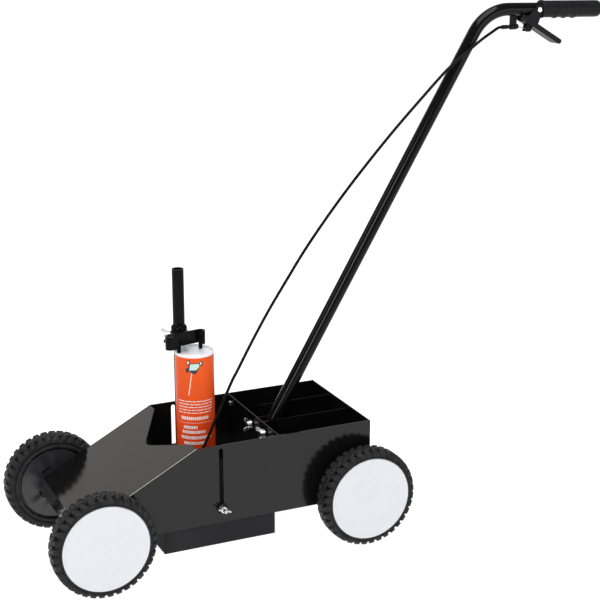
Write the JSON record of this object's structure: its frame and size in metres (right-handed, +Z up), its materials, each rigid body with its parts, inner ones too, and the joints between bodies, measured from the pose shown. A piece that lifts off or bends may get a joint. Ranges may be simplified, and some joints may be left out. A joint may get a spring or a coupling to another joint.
{
  "type": "line striping machine",
  "caption": "Walk-behind aerosol line striper: steel box on four wheels, upside-down paint can on a raisable cradle, storage bay, leaning handle with brake lever and cable",
  "frame": {"origin": "on the ground, at the middle of the whole machine's bounding box", "axes": "X lengthwise from the front wheels (-X) to the grip (+X), Y across the machine, +Z up"},
  "size_m": [1.0688, 0.3248, 0.8806],
  "materials": {
    "black_coat": "semi-gloss powder coat",
    "zinc": "bright zinc plated",
    "tyre_rubber": "matte moulded rubber",
    "rim_plastic": "moulded black plastic",
    "cover_plastic": "white moulded plastic",
    "can_label": "printed and lacquered tin",
    "can_white": "white lacquer",
    "can_tin": "bare tinplate",
    "nozzle_plastic": "white plastic",
    "cable_jacket": "black sheath",
    "bare_steel": "bare steel wire",
    "grip_rubber": "soft black rubber"
  },
  "bodies": {
    "chassis": {"left_side_panel": "black_coat", "right_side_panel": "black_coat", "hood": "black_coat", "rear_panel": "black_coat", "bulkhead": "black_coat", "left_divider": "black_coat", "right_divider": "black_coat", "storage_floor": "black_coat", "spray_skirt": "black_coat", "panel_bolts": "zinc", "front_axle": "zinc", "rear_axle": "zinc", "axle_bushes": "rim_plastic", "wheel_spacers": "zinc", "push_nuts": "zinc", "cable_sheath": "cable_jacket", "cable_post": "black_coat", "handle_tube": "black_coat", "handle_foot": "black_coat", "foot_bolts": "zinc", "grip": "grip_rubber", "lever_pivot": "zinc"},
    "front_left_wheel": {"front_left_tyre": "tyre_rubber", "front_left_rim": "rim_plastic", "front_left_cover": "cover_plastic"},
    "front_right_wheel": {"front_right_tyre": "tyre_rubber", "front_right_rim": "rim_plastic", "front_right_cover": "cover_plastic"},
    "rear_left_wheel": {"rear_left_tyre": "tyre_rubber", "rear_left_rim": "rim_plastic", "rear_left_cover": "cover_plastic"},
    "rear_right_wheel": {"rear_right_tyre": "tyre_rubber", "rear_right_rim": "rim_plastic", "rear_right_cover": "cover_plastic"},
    "cradle": {"can_cradle": "black_coat", "can_cup": "black_coat", "mast": "black_coat", "cradle_studs": "zinc", "stud_washers": "zinc", "can_body": "can_label", "can_base": "can_white", "can_shoulder": "can_tin", "valve_cup": "can_tin", "trigger_pin": "zinc", "lower_ferrule": "zinc"},
    "left_nut": {"left_wing_nut": "zinc"},
    "right_nut": {"right_wing_nut": "zinc"},
    "retainer": {"retainer_collar": "black_coat", "retainer_band": "black_coat"},
    "clamp_screw": {"retainer_screw": "zinc"},
    "actuator": {"spray_actuator": "nozzle_plastic"},
    "trigger": {"trigger_lever": "zinc", "cable_clamp": "zinc", "lower_wire": "bare_steel"},
    "brake_lever": {"hand_lever": "black_coat", "cable_nipple": "zinc", "upper_wire": "bare_steel"},
    "adjuster": {"cable_adjuster": "zinc"},
    "near_foot_nut": {"foot_wing_nut_near": "zinc"},
    "far_foot_nut": {"foot_wing_nut_far": "zinc"}
  },
  "joints": [
    {"name": "front_left_wheel_spin", "type": "hinge", "parent": "chassis", "child": "front_left_wheel", "pos_m": [-0.4495, -0.1421, 0.085], "axis": [0, 1, 0], "continuous": true},
    {"name": "front_right_wheel_spin", "type": "hinge", "parent": "chassis", "child": "front_right_wheel", "pos_m": [-0.4495, 0.1421, 0.085], "axis": [0, 1, 0], "continuous": true},
    {"name": "rear_left_wheel_spin", "type": "hinge", "parent": "chassis", "child": "rear_left_wheel", "pos_m": [0.0105, -0.1421, 0.085], "axis": [0, 1, 0], "continuous": true},
    {"name": "rear_right_wheel_spin", "type": "hinge", "parent": "chassis", "child": "rear_right_wheel", "pos_m": [0.0105, 0.1421, 0.085], "axis": [0, 1, 0], "continuous": true},
    {"name": "cradle_lift", "type": "slide", "parent": "chassis", "child": "cradle", "axis": [0, 0, 1], "range_m": [0, 0.1], "deforming": ["cable_sheath"]},
    {"name": "left_wing_nut_turn", "type": "hinge", "parent": "cradle", "child": "left_nut", "pos_m": [-0.2385, -0.12, 0.096], "axis": [0, 1, 0], "continuous": true},
    {"name": "right_wing_nut_turn", "type": "hinge", "parent": "cradle", "child": "right_nut", "pos_m": [-0.2385, 0.12, 0.096], "axis": [0, 1, 0], "continuous": true},
    {"name": "retainer_slide", "type": "slide", "parent": "cradle", "child": "retainer", "axis": [0, 0, 1], "range_m": [0, 0.08]},
    {"name": "retainer_screw_turn", "type": "hinge", "parent": "retainer", "child": "clamp_screw", "pos_m": [-0.2485, 0.04394, 0.352], "axis": [-0.9848, -0.1736, 0], "continuous": true},
    {"name": "hand_lever_squeeze", "type": "hinge", "parent": "chassis", "child": "brake_lever", "pos_m": [0.4015, 0, 0.86524], "axis": [0, -1, 0], "range_deg": [0, 15], "stiffness_Nm_per_rad": 1.2, "springref_deg": -14.32, "deforming": ["upper_wire"]},
    {"name": "trigger_swing", "type": "hinge", "parent": "cradle", "child": "trigger", "pos_m": [-0.2205, 0, 0.097], "axis": [0, 1, 0], "range_deg": [0, 12.5], "deforming": ["lower_wire"]},
    {"name": "actuator_press", "type": "slide", "parent": "cradle", "child": "actuator", "axis": [0, 0, 1], "range_m": [0, 0.0034]},
    {"name": "adjuster_turn", "type": "hinge", "parent": "chassis", "child": "adjuster", "pos_m": [0.3515, 0, 0.837], "axis": [1, 0, 0], "continuous": true},
    {"name": "near_foot_nut_turn", "type": "hinge", "parent": "chassis", "child": "near_foot_nut", "pos_m": [-0.1445, -0.058, 0.19], "axis": [1, 0, 0], "continuous": true},
    {"name": "far_foot_nut_turn", "type": "hinge", "parent": "chassis", "child": "far_foot_nut", "pos_m": [-0.1445, -0.001, 0.187], "axis": [1, 0, 0], "continuous": true}
  ],
  "couplings": [
    {"joint": "trigger_swing", "follows": "hand_lever_squeeze", "ratio": 0.8},
    {"joint": "actuator_press", "follows": "hand_lever_squeeze", "m_per_rad": 0.012223}
  ]
}
